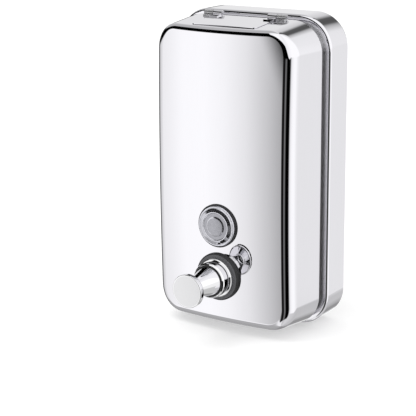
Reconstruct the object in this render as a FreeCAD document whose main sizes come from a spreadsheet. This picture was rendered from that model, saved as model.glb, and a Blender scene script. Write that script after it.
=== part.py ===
import FreeCAD, Part
import os
from types import SimpleNamespace

import Sketcher
from FreeCAD import Placement, Rotation, Vector

# Wall mounted soap dispenser: a stainless tank of two drawn half shells, with a sight window and a
# push valve at the front and a filler lid on top. It hangs by two sloping rails on a dovetail wall
# plate. Millimetres, +X to the viewer's right, the wall is the plane y = 0 and the front faces -Y.
# The origin is midway between the wall plate's two lower screw holes, on the wall.

DRIVING_SIZES = {
    # tank
    "tank_width": 114.0,
    "tank_height": 205.0,
    "tank_corner": 22.4,
    "tank_below_screws": 113.0,
    "sheet_gauge": 0.9,
    "weld_gap": 0.05,
    "over_cut": 1.0,
    "hole_reach": 10.0,
    "blank_depth": 2.0,
    "wall_gap": 0.6,
    "rear_rim_depth": 24.0,
    "front_rim_depth": 29.1,
    "front_inset": 2.5,
    "front_corner": 20.5,
    "draft_angle": 6.0,
    "crown_depth": 67.7,
    "crown_radius": 250.0,
    "crown_tall_radius": 2150.0,
    "front_round": 4.0,
    "rim_round": 2.0,
    "back_round": 1.6,
    "rim_lip": 2.2,
    "band_gauge": 1.2,
    "band_overlap": 3.4,
    "panel_depth": 5.6,
    "panel_flange": 7.0,
    # filler lid, measured from the front shell's rear rim
    "lid_width": 47.0,
    "lid_length": 25.0,
    "lid_setback": 6.2,
    "lid_gauge": 1.0,
    "lid_proud": 0.6,
    "lid_corner": 2.0,
    "lid_play": 0.3,
    "seal_gauge": 1.2,
    "seal_margin": 1.0,
    "seal_band": 4.0,
    "seat_gauge": 0.9,
    "seat_margin": 1.5,
    "mouth_margin": 4.6,
    "knuckle_radius": 1.7,
    "knuckle_length": 6.4,
    "knuckle_gap": 0.4,
    "knuckle_inner_side": 17.2,
    "hinge_setback": 4.3,
    "hinge_rise": 1.75,
    "hinge_pin_radius": 0.9,
    "pin_head_length": 0.4,
    "pin_play": 0.05,
    "leaf_length": 7.0,
    "foot_length": 3.2,
    # sight window
    "window_rise": 72.3,
    "window_hole_radius": 10.4,
    "window_gasket_radius": 14.2,
    "window_gasket_front": 0.9,
    "lens_flange_radius": 13.4,
    "lens_flange_front": 2.3,
    "lens_step_radius": 10.0,
    "lens_step_front": 3.4,
    "lens_crown_radius": 8.6,
    "lens_crown_front": 4.3,
    "lens_shank_radius": 10.0,
    "lens_shank_length": 9.0,
    "lens_well_radius": 7.6,
    "lens_well_front": 0.6,
    "window_nut_radius": 13.6,
    "window_nut_length": 4.0,
    "washer_gauge": 1.5,
    # push valve, measured outward from the front face
    "pump_rise": 38.2,
    "pump_hole_radius": 11.2,
    "gasket_radius": 16.3,
    "gasket_front": 2.4,
    "flange_radius": 12.7,
    "flange_front": 5.0,
    "collar_radius": 11.6,
    "collar_front": 12.4,
    "collar_round": 1.2,
    "shank_radius": 11.0,
    "shank_length": 15.0,
    "valve_bore_radius": 9.9,
    "wiper_outer_radius": 10.6,
    "wiper_length": 1.2,
    "wiper_play": 0.08,
    "outlet_radius": 2.0,
    "outlet_front": 7.4,
    "nut_circumradius": 15.6,
    "nut_length": 5.0,
    "knob_skirt_radius": 9.6,
    "knob_skirt_rear": 9.5,
    "knob_cone_rear": 12.9,
    "knob_neck_front": 33.4,
    "knob_neck_radius": 4.6,
    "knob_head_radius": 10.8,
    "knob_head_front": 37.3,
    "knob_edge_round": 0.6,
    "knob_dome": 0.5,
    "rod_radius": 4.0,
    "rod_thread_radius": 3.0,
    "rod_thread_front": 21.0,
    "rod_bore_radius": 1.5,
    "rod_bore_front": 9.0,
    "rod_port_front": 7.5,
    "rod_port_radius": 1.25,
    "cylinder_radius": 9.85,
    "cylinder_bore_radius": 8.0,
    "cylinder_front": 5.0,
    "cylinder_wall": 2.0,
    "cylinder_length": 32.0,
    "rod_guide_play": 0.08,
    "piston_stop_gap": 0.3,
    "piston_radius": 7.6,
    "piston_length": 4.7,
    "piston_spigot_radius": 4.2,
    "piston_spigot_length": 8.0,
    "piston_thread_depth": 6.0,
    "piston_seal_play": 0.05,
    "piston_seal_length": 1.8,
    "piston_seal_depth": 1.4,
    "piston_hole_radius": 1.2,
    "ball_chamber_radius": 2.6,
    "piston_end_wall": 1.4,
    "outlet_ball_radius": 2.0,
    "inlet_ball_radius": 2.4,
    "inlet_chamber_radius": 3.0,
    "inlet_wall": 2.0,
    "cap_flange": 2.0,
    "cap_body_radius": 5.2,
    "cap_body_length": 7.5,
    "inlet_hole_radius": 1.4,
    "cage_hole_radius": 0.8,
    "cage_ring_radius": 1.9,
    "spigot_radius": 2.3,
    "spigot_length": 4.0,
    "spring_radius": 6.1,
    "spring_wire_radius": 0.5,
    "spring_turns": 7.0,
    "tube_radius": 3.3,
    "tube_gauge": 0.9,
    "tube_bend_radius": 5.0,
    "tube_floor_gap": 5.0,
    # wall plate and the hanger that drops over it, measured from the wall
    "plate_height": 64.0,
    "plate_base_width": 51.0,
    "plate_top_width": 25.0,
    "plate_below_screws": 18.4,
    "plate_depth": 3.0,
    "plate_gauge": 1.2,
    "plate_undercut": 1.8,
    "screw_spacing": 25.0,
    "upper_screw_rise": 37.2,
    "screw_hole_radius": 2.25,
    "hole_collar_radius": 3.2,
    "plate_window_width": 8.4,
    "plate_window_height": 7.2,
    "plate_window_drop": 6.9,
    "plate_window_dish": 1.1,
    "hanger_gauge": 1.0,
    "hanger_play": 0.3,
    "hanger_margin": 4.0,
    "rail_gauge": 1.4,
    "rail_end_gap": 0.8,
    "rail_short": 3.0,
}

SHEET_NAME = "Dimensions"
MOST_OF = 0.9  # of a span: longer edges than this run its whole length
FRONT_BAND = 10.0  # edges this far in front of a rim belong to the crowned face
HAIR = 0.01
CROWN_SWEEP = 120.0  # degrees; wide enough to pass the tank's sides, with no seam on the face
OUTWARD = Rotation(Vector(0, 0, 1), -90)      # turns a body's +X to the dispenser's front, -Y
UP_TO_OUTWARD = Rotation(Vector(1, 0, 0), 90)  # turns a primitive's +Z to the front, -Y
LENGTHWISE = Rotation(Vector(0, 1, 0), 90)     # turns a primitive's +Z to +X


class Size:
    """A dimension: its number, and the sheet formula that drives it in the document."""

    def __init__(self, value, formula):
        self.value = value
        self.formula = formula

    def joined(self, sign, other, value):
        return Size(value, f"({self.formula} {sign} {formula_of(other)})")

    def __add__(self, other):
        return self.joined("+", other, self.value + number(other))

    def __sub__(self, other):
        return self.joined("-", other, self.value - number(other))

    def __mul__(self, other):
        return self.joined("*", other, self.value * number(other))

    def __truediv__(self, other):
        return self.joined("/", other, self.value / number(other))

    def __neg__(self):
        return self * -1


def number(size):
    return size.value if isinstance(size, Size) else float(size)


def formula_of(size):
    return size.formula if isinstance(size, Size) else f"({float(size)})"


def fill_sheet(doc):
    """Write every driving size into the spreadsheet and hand them back by name."""
    sheet = doc.addObject("Spreadsheet::Sheet", SHEET_NAME)
    named = {}
    for row, (alias, value) in enumerate(DRIVING_SIZES.items(), start=1):
        sheet.set(f"A{row}", alias)
        sheet.set(f"B{row}", str(value))
        sheet.setAlias(f"B{row}", alias)
        named[alias] = Size(value, f"{SHEET_NAME}.{alias}")
    doc.recompute()
    return SimpleNamespace(**named)


doc = FreeCAD.newDocument("soap_dispenser")
d = fill_sheet(doc)
pieces = {}
ZERO = Size(0.0, "0")


# ---------------------------------------------------------------- helpers

def bind(obj, **sizes):
    """Set properties from sizes; each Size stays linked to the sheet."""
    for prop, size in sizes.items():
        setattr(obj, prop, number(size))
        if isinstance(size, Size):
            obj.setExpression(prop, size.formula)


def place(obj, x=0.0, y=0.0, z=0.0, rotation=Rotation()):
    obj.Placement = Placement(Vector(number(x), number(y), number(z)), rotation)
    for axis, size in (("x", x), ("y", y), ("z", z)):
        if isinstance(size, Size):
            obj.setExpression(f"Placement.Base.{axis}", size.formula)
    return obj


def piece(label, obj):
    """Register a finished sub-part under the name that its file gets."""
    obj.Label = label
    pieces[label] = obj
    return obj


def primitive(kind, name, x=0.0, y=0.0, z=0.0, rotation=Rotation(), **sizes):
    obj = doc.addObject(f"Part::{kind}", name)
    bind(obj, **sizes)
    return place(obj, x, y, z, rotation)


def cylinder(name, radius, length, x=0.0, y=0.0, z=0.0, rotation=Rotation()):
    return primitive("Cylinder", name, x, y, z, rotation, Radius=radius, Height=length)


def fuse(name, *shapes):
    obj = doc.addObject("Part::MultiFuse", name)
    obj.Shapes = list(shapes)
    return obj


def cut(name, base, *tools):
    obj = doc.addObject("Part::Cut", name)
    obj.Base = base
    obj.Tool = tools[0] if len(tools) == 1 else fuse(f"{name}_tools", *tools)
    return obj


def common(name, first, second):
    obj = doc.addObject("Part::Common", name)
    obj.Base = first
    obj.Tool = second
    return obj


def new_body(name):
    return doc.addObject("PartDesign::Body", name)


def sketch_on(body, name, role, offset=0.0):
    """An empty sketch on one of the body's own origin planes, offset along its normal."""
    sketch = body.newObject("Sketcher::SketchObject", name)
    plane = next(f for f in body.Origin.OriginFeatures if f.Role == role)
    sketch.AttachmentSupport = [(plane, "")]
    sketch.MapMode = "FlatFace"
    sketch.AttachmentOffset = Placement(Vector(0, 0, number(offset)), Rotation())
    if isinstance(offset, Size):
        sketch.setExpression("AttachmentOffset.Base.z", offset.formula)
    return sketch


def pin_point(sketch, geometry, end, u, v):
    """Hold one point of the sketch at (u, v) from the sketch's origin."""
    for kind, axis, size in (("DistanceX", -2, u), ("DistanceY", -1, v)):
        if number(size) == 0.0:
            sketch.addConstraint(Sketcher.Constraint("PointOnObject", geometry, end, axis))
            continue
        rule = Sketcher.Constraint(kind, -1, 1, geometry, end, number(size))
        index = sketch.addConstraint(rule)
        if isinstance(size, Size):
            sketch.setExpression(f"Constraints[{index}]", size.formula)


def draw_polygon(sketch, points):
    """A closed outline of straight lines with every corner driven by the sheet."""
    corners = [Vector(number(u), number(v), 0) for u, v in points]
    count = len(corners)
    for index in range(count):
        line = Part.LineSegment(corners[index], corners[(index + 1) % count])
        sketch.addGeometry(line, False)
    for index in range(count):
        following = (index + 1) % count
        sketch.addConstraint(Sketcher.Constraint("Coincident", index, 2, following, 1))
        pin_point(sketch, index, 1, *points[index])


def draw_rectangle(sketch, left, right, low, high):
    draw_polygon(sketch, [(left, low), (right, low), (right, high), (left, high)])


def draw_circle(sketch, u, v, radius):
    centre = Vector(number(u), number(v), 0)
    index = sketch.addGeometry(Part.Circle(centre, Vector(0, 0, 1), number(radius)), False)
    pin_point(sketch, index, 3, u, v)
    rule = sketch.addConstraint(Sketcher.Constraint("Radius", index, number(radius)))
    if isinstance(radius, Size):
        sketch.setExpression(f"Constraints[{rule}]", radius.formula)


def pad(body, sketch, length, name, backwards=False, taper=None):
    feature = body.newObject("PartDesign::Pad", name)
    feature.Profile = sketch
    feature.Reversed = backwards
    bind(feature, Length=length)
    if taper is not None:
        bind(feature, TaperAngle=taper)
    doc.recompute()
    return feature


def round_edges(body, base, radius, name, wanted):
    """Round the edges of the base feature whose bounding box passes the wanted test."""
    doc.recompute()
    names = [
        f"Edge{rank}"
        for rank, edge in enumerate(base.Shape.Edges, start=1)
        if wanted(edge.BoundBox)
    ]
    feature = body.newObject("PartDesign::Fillet", name)
    feature.Base = (base, names)
    bind(feature, Radius=radius)
    doc.recompute()
    return feature


def turned(name, points, depth, rise):
    """A body of revolution about the valve or window axis; points are (outward, radius)."""
    body = new_body(name)
    sketch = sketch_on(body, f"{name}_profile", "XY_Plane")
    draw_polygon(sketch, points)
    spin = body.newObject("PartDesign::Revolution", f"{name}_turn")
    spin.Profile = sketch
    spin.ReferenceAxis = (sketch, ["H_Axis"])
    spin.Angle = 360.0
    return place(body, 0.0, -depth, rise, OUTWARD)


def ring(name, rear, front, inner, outer, depth, rise):
    points = [(rear, inner), (front, inner), (front, outer), (rear, outer)]
    return turned(name, points, depth, rise)


# ---------------------------------------------------------------- places shared by the sub-parts

tank_bottom = -d.tank_below_screws
tank_middle = tank_bottom + d.tank_height / 2
half_width = d.tank_width / 2
half_height = d.tank_height / 2
front_top = tank_bottom + d.tank_height - d.front_inset


def face_depth(rise):
    """Depth of the crowned front face on the middle line, at a height above the tank's base."""
    off_middle = d.tank_height / 2 - rise
    return d.crown_depth - off_middle * off_middle / (d.crown_tall_radius * 2)


window_z = tank_bottom + d.window_rise
window_depth = face_depth(d.window_rise)
pump_z = tank_bottom + d.pump_rise
pump_depth = face_depth(d.pump_rise)


# ---------------------------------------------------------------- tank shells

def crown_groove(body, inset):
    """Cut away all that lies in front of the crowned face, a barrel turned about an upright axis."""
    wide = d.crown_radius - inset
    tall = d.crown_tall_radius - inset
    reach = d.tank_height / 2 + d.hole_reach
    beyond = wide + d.hole_reach * 4
    end_radius = number(wide) - number(reach) ** 2 / (2 * number(tall))
    sketch = sketch_on(body, f"{body.Name}_crown_profile", "YZ_Plane")
    axis_place = Vector(number(d.crown_radius - d.crown_depth), number(tank_middle), 0)
    sketch.AttachmentOffset = Placement(axis_place, Rotation())
    axis_formula = (d.crown_radius - d.crown_depth).formula
    sketch.setExpression("AttachmentOffset.Base.x", axis_formula)
    sketch.setExpression("AttachmentOffset.Base.y", tank_middle.formula)
    low = Vector(-end_radius, -number(reach), 0)
    middle = Vector(-number(wide), 0, 0)
    high = Vector(-end_radius, number(reach), 0)
    far_high = Vector(-number(beyond), number(reach), 0)
    far_low = Vector(-number(beyond), -number(reach), 0)
    sketch.addGeometry(Part.Arc(low, middle, high), False)
    arc_start_is_low = sketch.getPoint(0, 1).y < 0
    low_end = 1 if arc_start_is_low else 2
    high_end = 3 - low_end
    sketch.addGeometry(Part.LineSegment(high, far_high), False)
    sketch.addGeometry(Part.LineSegment(far_high, far_low), False)
    sketch.addGeometry(Part.LineSegment(far_low, low), False)
    for first, first_end, second, second_end in (
        (0, high_end, 1, 1), (1, 2, 2, 1), (2, 2, 3, 1), (3, 2, 0, low_end),
    ):
        rule = Sketcher.Constraint("Coincident", first, first_end, second, second_end)
        sketch.addConstraint(rule)
    pin_point(sketch, 0, 3, tall - wide, 0.0)
    pin_point(sketch, 1, 2, -beyond, reach)
    pin_point(sketch, 2, 2, -beyond, -reach)
    for geometry in (1, 3):
        sketch.addConstraint(Sketcher.Constraint("Horizontal", geometry))
    bend = sketch.addConstraint(Sketcher.Constraint("Radius", 0, number(tall)))
    sketch.setExpression(f"Constraints[{bend}]", tall.formula)
    groove = body.newObject("PartDesign::Groove", f"{body.Name}_crown")
    groove.Profile = sketch
    groove.ReferenceAxis = (sketch, ["V_Axis"])
    groove.Midplane = True
    groove.Angle = CROWN_SWEEP
    doc.recompute()
    return groove


def block(body, inset, width, height, corner, near, far, taper=None):
    """A rounded upright block between two depths, shrunk on every side by the inset."""
    half_w = width / 2 - inset
    half_h = height / 2 - inset
    sketch = sketch_on(body, f"{body.Name}_outline", "XZ_Plane", near)
    draw_rectangle(sketch, -half_w, half_w, tank_middle - half_h, tank_middle + half_h)
    base = pad(body, sketch, far - near, f"{body.Name}_block", taper=taper)
    span = number(far - near)
    return round_edges(
        body, base, corner - inset, f"{body.Name}_corners", lambda box: box.YLength > MOST_OF * span
    )


def front_block(name, inset):
    body = new_body(name)
    near = d.front_rim_depth + inset
    width = d.tank_width - d.front_inset * 2
    height = d.tank_height - d.front_inset * 2
    far = d.crown_depth + d.hole_reach
    base = block(body, inset, width, height, d.front_corner, near, far, -d.draft_angle)
    crowned = crown_groove(body, inset)
    edge_plane = -number(near)
    front = round_edges(
        body, crowned, d.front_round - inset, f"{name}_front_round",
        lambda box: box.YMax < edge_plane - FRONT_BAND,
    )
    round_edges(
        body, front, d.rim_round - inset, f"{name}_rim_round",
        lambda box: box.YMin > edge_plane - HAIR,
    )
    return body


def rear_block(name, inset):
    body = new_body(name)
    near = d.wall_gap + inset
    far = d.rear_rim_depth - inset
    corners = block(body, inset, d.tank_width, d.tank_height, d.tank_corner, near, far)
    back = round_edges(
        body, corners, d.back_round - inset, f"{name}_back_round",
        lambda box: box.YMin > -number(near) - HAIR,
    )
    round_edges(
        body, back, d.rim_round - inset, f"{name}_rim_round",
        lambda box: box.YMax < -number(far) + HAIR,
    )
    return body


def opening_block(name, inset, near, far):
    """A rounded block that opens a shell; its outline keeps the inset from the tank's outside."""
    body = new_body(name)
    block(body, inset, d.tank_width, d.tank_height, d.tank_corner, near, far)
    return body


seam_opening_inset = d.front_inset + d.rim_lip


front_outer = front_block("front_outer", ZERO)
front_inner = front_block("front_inner", d.sheet_gauge)


def front_shell():
    mouth_play = d.lid_play * 2
    return cut(
        "front_shell",
        front_outer,
        front_inner,
        opening_block("front_rim_opening", seam_opening_inset, d.front_rim_depth - d.over_cut,
                      d.front_rim_depth + d.over_cut * 6),
        cylinder("window_hole", d.window_hole_radius, d.hole_reach * 2, 0.0,
                 d.hole_reach - window_depth, window_z,
                 UP_TO_OUTWARD),
        cylinder("pump_hole", d.pump_hole_radius, d.hole_reach * 2, 0.0,
                 d.hole_reach - pump_depth, pump_z,
                 UP_TO_OUTWARD),
        lid_frame_place(
            lid_plate("lid_opening", d.lid_width + mouth_play, d.lid_length + mouth_play,
                      d.lid_setback - d.lid_play, d.lid_gauge * -3, d.lid_gauge * 3)
        ),
    )


def rear_shell():
    outer = rear_block("rear_outer", ZERO)
    inner = rear_block("rear_inner", d.sheet_gauge)
    return cut(
        "rear_shell",
        outer,
        inner,
        opening_block("rear_rim_opening", seam_opening_inset, d.rear_rim_depth - d.over_cut * 6,
                      d.rear_rim_depth + d.over_cut),
        opening_block("back_opening", d.rim_lip, d.wall_gap - d.over_cut * 2,
                      d.wall_gap + d.over_cut * 4),
    )


def seam_band():
    """The joining band that both rims are welded to; it shows as the floor of the seam groove."""
    near = d.rear_rim_depth - d.band_overlap
    far = d.front_rim_depth + d.band_overlap
    outer = opening_block("band_outer", seam_opening_inset + d.weld_gap, near, far)
    inner = opening_block("band_inner", seam_opening_inset + d.band_gauge, near - d.over_cut, far + d.over_cut)
    return cut("seam_band", outer, inner)


def back_panel():
    """The tank's back: a sheet set in from the wall, with a flange that is welded to the shell."""
    fit = d.sheet_gauge + d.weld_gap
    outer = opening_block("panel_outer", fit, d.panel_depth, d.panel_depth + d.panel_flange)
    inner = opening_block("panel_inner", fit + d.sheet_gauge, d.panel_depth + d.sheet_gauge,
                          d.panel_depth + d.panel_flange + d.over_cut)
    return cut("back_panel", outer, inner)


# ---------------------------------------------------------------- filler lid and its hinge
# These pieces are drawn in the lid's own frame, which lies on the front shell's sloping top with its
# origin at the rear rim: -Y runs forward along the slope and +Z stands off it.

def lid_frame_place(obj):
    place(obj, 0.0, -d.front_rim_depth, front_top, Rotation(Vector(1, 0, 0), number(d.draft_angle)))
    obj.setExpression("Placement.Rotation.Angle", d.draft_angle.formula)
    return obj


def lid_plate(name, width, length, setback, low, high):
    """A flat rectangle with rounded corners, from low to high above the shell's top."""
    body = new_body(name)
    sketch = sketch_on(body, f"{name}_outline", "XY_Plane", low)
    draw_rectangle(sketch, width / -2, width / 2, -(setback + length), -setback)
    base = pad(body, sketch, high - low, f"{name}_plate")
    span = number(high - low)
    round_edges(body, base, d.lid_corner, f"{name}_corners",
                lambda box: box.ZLength > MOST_OF * span)
    return body


lid_low = d.lid_proud - d.lid_gauge
seal_low = lid_low - d.seal_gauge
LEFT_AND_RIGHT = {"left": -1, "right": 1}


def on_hinge(name, start, length, radius):
    """A cylinder on the hinge's axis, which runs along +X."""
    return cylinder(name, radius, length, start, -d.hinge_setback, d.hinge_rise, LENGTHWISE)


def knuckle_start(side, slot):
    """Where a knuckle begins: slot 0 is the lid's, slot 1 the shell's outside it."""
    inner = d.knuckle_inner_side + (d.knuckle_length + d.knuckle_gap) * slot
    return inner if side > 0 else -(inner + d.knuckle_length)


def lid():
    plate = lid_plate("lid_sheet", d.lid_width, d.lid_length, d.lid_setback, lid_low, d.lid_proud)
    solids = [plate]
    bores = []
    for word, side in LEFT_AND_RIGHT.items():
        start = knuckle_start(side, 0)
        solids.append(on_hinge(f"lid_knuckle_{word}", start, d.knuckle_length, d.knuckle_radius))
        solids.append(primitive(
            "Box", f"lid_leaf_{word}", start, -(d.hinge_setback + d.leaf_length),
            d.lid_proud - 0.3, Length=d.knuckle_length, Width=d.leaf_length,
            Height=d.lid_gauge,
        ))
        bores.append(on_hinge(f"lid_bore_{word}", start - d.over_cut, d.knuckle_length + d.over_cut * 2,
                              d.hinge_pin_radius + d.pin_play))
    return lid_frame_place(cut("lid", fuse("lid_solid", *solids), *bores))


def lid_seal():
    """A flat rubber frame bonded under the lid; it closes on the seat."""
    margin = d.seal_margin
    outer = lid_plate("seal_outer", d.lid_width - margin * 2, d.lid_length - margin * 2,
                      d.lid_setback + margin, seal_low, lid_low)
    inset = margin + d.seal_band
    inner = lid_plate("seal_inner", d.lid_width - inset * 2, d.lid_length - inset * 2,
                      d.lid_setback + inset, seal_low - d.over_cut, lid_low + d.over_cut)
    return lid_frame_place(cut("lid_seal", outer, inner))


def filler_seat():
    """The frame welded under the top; its inner edge is the mouth and carries the lid's seal."""
    high = seal_low - d.weld_gap
    low = high - d.seat_gauge
    margin = d.seat_margin
    outer = lid_plate("seat_outer", d.lid_width + margin * 2, d.lid_length + margin * 2,
                      d.lid_setback - margin, low, -d.sheet_gauge - d.weld_gap)
    well = lid_plate("seat_well", d.lid_width + d.lid_play * 2, d.lid_length + d.lid_play * 2,
                     d.lid_setback - d.lid_play, high, d.sheet_gauge)
    inset = d.mouth_margin
    mouth = lid_plate("seat_mouth", d.lid_width - inset * 2, d.lid_length - inset * 2,
                      d.lid_setback + inset, low - d.over_cut, high + d.over_cut)
    return lid_frame_place(cut("filler_seat", outer, well, mouth))


def hinge_bracket(word, side):
    """The shell's half of one hinge: a knuckle on a foot that is welded to the top."""
    start = knuckle_start(side, 1)
    foot_rear = d.hinge_setback + d.foot_length
    foot = primitive("Box", f"hinge_foot_{word}", start, -foot_rear, d.weld_gap,
                     Length=d.knuckle_length, Width=d.foot_length, Height=d.lid_gauge)
    barrel = on_hinge(f"hinge_barrel_{word}", start, d.knuckle_length, d.knuckle_radius)
    bore = on_hinge(f"hinge_bore_{word}", start - d.over_cut, d.knuckle_length + d.over_cut * 2, d.hinge_pin_radius)
    name = f"hinge_bracket_{word}"
    return lid_frame_place(cut(name, fuse(f"hinge_solid_{word}", barrel, foot), bore))


def hinge_pin(word, side):
    """A pin with a flattened head at each end of its two knuckles."""
    both = d.knuckle_length * 2 + d.knuckle_gap
    start = d.knuckle_inner_side if side > 0 else -(d.knuckle_inner_side + both)
    head = d.pin_head_length
    radius = d.hinge_pin_radius
    return lid_frame_place(fuse(
        f"hinge_pin_{word}",
        on_hinge(f"pin_shaft_{word}", start - head, both + head * 2, radius),
        on_hinge(f"pin_head_{word}_a", start - head - d.weld_gap, head, radius + head),
        on_hinge(f"pin_head_{word}_b", start + both + d.weld_gap, head, radius + head),
    ))


# ---------------------------------------------------------------- sight window

def on_face(name, blank):
    """Shape a blank's back to the crowned face, by cutting the tank's outer form from it."""
    return cut(name, blank, front_outer)


def under_face(name, blank):
    """Shape a washer's front to the inside of the crowned face."""
    return common(name, blank, front_inner)


def window_gasket():
    blank = ring("window_gasket_blank", -d.blank_depth, d.window_gasket_front, d.window_hole_radius,
                 d.window_gasket_radius, window_depth, window_z)
    return on_face("window_gasket", blank)


def window_lens():
    """The clear plug: a shank through the shell, a flange and a stepped, crowned front."""
    points = [
        (-d.lens_shank_length, d.lens_well_radius),
        (-d.lens_shank_length, d.lens_shank_radius),
        (d.window_gasket_front, d.lens_shank_radius),
        (d.window_gasket_front, d.lens_flange_radius),
        (d.lens_flange_front - 0.6, d.lens_flange_radius),
        (d.lens_flange_front, d.lens_flange_radius - 0.8),
        (d.lens_flange_front, d.lens_step_radius),
        (d.lens_step_front, d.lens_step_radius - 0.6),
        (d.lens_step_front, d.lens_crown_radius),
        (d.lens_crown_front - 0.3, d.lens_crown_radius * 0.6),
        (d.lens_crown_front, 0.0),
        (d.lens_well_front, 0.0),
        (d.lens_well_front, d.lens_well_radius * 0.7),
        (d.lens_well_front - 1.2, d.lens_well_radius),
    ]
    return turned("window_lens", points, window_depth, window_z)


def window_washer():
    blank = ring("window_washer_blank", -d.sheet_gauge - d.washer_gauge, 1.0,
                 d.window_hole_radius, d.window_nut_radius, window_depth, window_z)
    return under_face("window_washer", blank)


def window_nut():
    front = -d.sheet_gauge - d.washer_gauge - d.weld_gap
    return ring("window_nut", front - d.window_nut_length, front, d.lens_shank_radius + d.weld_gap,
                d.window_nut_radius, window_depth, window_z)


# ---------------------------------------------------------------- push valve

def pump_gasket():
    blank = ring("pump_gasket_blank", -d.blank_depth, d.gasket_front, d.pump_hole_radius, d.gasket_radius,
                 pump_depth, pump_z)
    return on_face("pump_gasket", blank)


def valve_body():
    """The chromed collar with its flange and the threaded shank that goes through the shell."""
    seat = d.collar_front - d.wiper_length
    points = [
        (-d.shank_length, d.valve_bore_radius),
        (-d.shank_length, d.shank_radius),
        (d.gasket_front, d.shank_radius),
        (d.gasket_front, d.flange_radius),
        (d.flange_front - 0.5, d.flange_radius),
        (d.flange_front, d.flange_radius - 0.5),
        (d.flange_front, d.collar_radius),
        (d.collar_front - d.collar_round, d.collar_radius),
        (d.collar_front - d.collar_round * 0.35, d.collar_radius - d.collar_round * 0.3),
        (d.collar_front, d.wiper_outer_radius + 0.1),
        (d.collar_front, d.wiper_outer_radius),
        (seat, d.wiper_outer_radius),
        (seat, d.valve_bore_radius),
    ]
    tube = turned("valve_tube", points, pump_depth, pump_z)
    outlet = cylinder("outlet_hole", d.outlet_radius, d.shank_radius * 2, 0.0,
                      -pump_depth - d.outlet_front, pump_z - d.shank_radius * 2)
    return cut("valve_body", tube, outlet)


def wiper_seal():
    return ring("wiper_seal", d.collar_front - d.wiper_length, d.collar_front + 0.3,
                d.knob_skirt_radius + d.wiper_play, d.wiper_outer_radius, pump_depth, pump_z)


def pump_washer():
    blank = ring("pump_washer_blank", -d.sheet_gauge - d.washer_gauge, 1.0, d.pump_hole_radius,
                 d.gasket_radius, pump_depth, pump_z)
    return under_face("pump_washer", blank)


def pump_nut():
    rear = -d.sheet_gauge - d.washer_gauge - d.nut_length - d.weld_gap
    hexagon = primitive("Prism", "pump_nut_hexagon", 0.0, -pump_depth - rear, pump_z,
                        UP_TO_OUTWARD, Circumradius=d.nut_circumradius, Height=d.nut_length)
    bore = cylinder("pump_nut_bore", d.shank_radius + d.weld_gap, d.nut_length + d.over_cut * 2, 0.0,
                    -pump_depth - rear + d.over_cut, pump_z, UP_TO_OUTWARD)
    return cut("pump_nut", hexagon, bore)


def push_knob():
    """Flat head, neck, cone and the skirt that slides in the collar."""
    edge = d.knob_edge_round
    points = [
        (d.knob_skirt_rear, d.rod_thread_radius),
        (d.knob_skirt_rear, d.knob_skirt_radius),
        (d.knob_cone_rear, d.knob_skirt_radius),
        (d.knob_neck_front - 1.2, d.knob_neck_radius),
        (d.knob_neck_front, d.knob_neck_radius),
        (d.knob_neck_front, d.knob_head_radius - edge),
        (d.knob_neck_front + edge, d.knob_head_radius),
        (d.knob_head_front - d.knob_dome - edge, d.knob_head_radius),
        (d.knob_head_front - d.knob_dome, d.knob_head_radius - edge),
        (d.knob_head_front - d.knob_dome * 0.3, d.knob_head_radius * 0.6),
        (d.knob_head_front, 0.0),
        (d.rod_thread_front, 0.0),
        (d.rod_thread_front, d.rod_thread_radius),
    ]
    return turned("push_knob", points, pump_depth, pump_z)


piston_front = -(d.cylinder_front + d.cylinder_wall + d.piston_stop_gap)
rod_end = piston_front - d.piston_thread_depth


def piston_rod():
    """The hollow rod that carries the liquid from the piston to its side port."""
    points = [
        (rod_end, d.rod_bore_radius),
        (rod_end, d.rod_thread_radius),
        (piston_front, d.rod_thread_radius),
        (piston_front, d.rod_radius),
        (d.knob_skirt_rear, d.rod_radius),
        (d.knob_skirt_rear, d.rod_thread_radius),
        (d.rod_thread_front, d.rod_thread_radius),
        (d.rod_thread_front, 0.0),
        (d.rod_bore_front, 0.0),
        (d.rod_bore_front, d.rod_bore_radius),
    ]
    rod = turned("rod_blank", points, pump_depth, pump_z)
    port = cylinder("rod_port", d.rod_port_radius, d.rod_radius * 4, 0.0,
                    -pump_depth - d.rod_port_front, pump_z - d.rod_radius * 2)
    return cut("piston_rod", rod, port)


def piston():
    """The piston flange with its seal groove, and the spigot that holds the outlet ball."""
    rear = piston_front - d.piston_length
    end = rear - d.piston_spigot_length
    groove_front = piston_front - (d.piston_length - d.piston_seal_length) / 2
    groove_rear = groove_front - d.piston_seal_length
    groove_radius = d.cylinder_bore_radius - d.piston_seal_play - d.piston_seal_depth
    points = [
        (end, d.piston_hole_radius),
        (end, d.piston_spigot_radius),
        (rear, d.piston_spigot_radius),
        (rear, d.piston_radius),
        (groove_rear, d.piston_radius),
        (groove_rear, groove_radius),
        (groove_front, groove_radius),
        (groove_front, d.piston_radius),
        (piston_front, d.piston_radius),
        (piston_front, d.rod_thread_radius),
        (rod_end, d.rod_thread_radius),
        (rod_end, d.ball_chamber_radius),
        (end + d.piston_end_wall, d.ball_chamber_radius),
        (end + d.piston_end_wall, d.piston_hole_radius),
    ]
    return turned("piston", points, pump_depth, pump_z)


def piston_seal():
    front = piston_front - (d.piston_length - d.piston_seal_length) / 2
    outer = d.cylinder_bore_radius - d.piston_seal_play
    return ring("piston_seal", front - d.piston_seal_length, front, outer - d.piston_seal_depth,
                outer, pump_depth, pump_z)


def outlet_ball():
    """Rests on the seat at the spigot's end; pressure lifts it towards the rod."""
    end = piston_front - d.piston_length - d.piston_spigot_length + d.piston_end_wall
    centre = end + d.outlet_ball_radius + d.weld_gap
    return primitive("Sphere", "outlet_ball", 0.0, -pump_depth - centre, pump_z,
                     Radius=d.outlet_ball_radius)


cylinder_rear = -(d.cylinder_front + d.cylinder_length)


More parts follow.
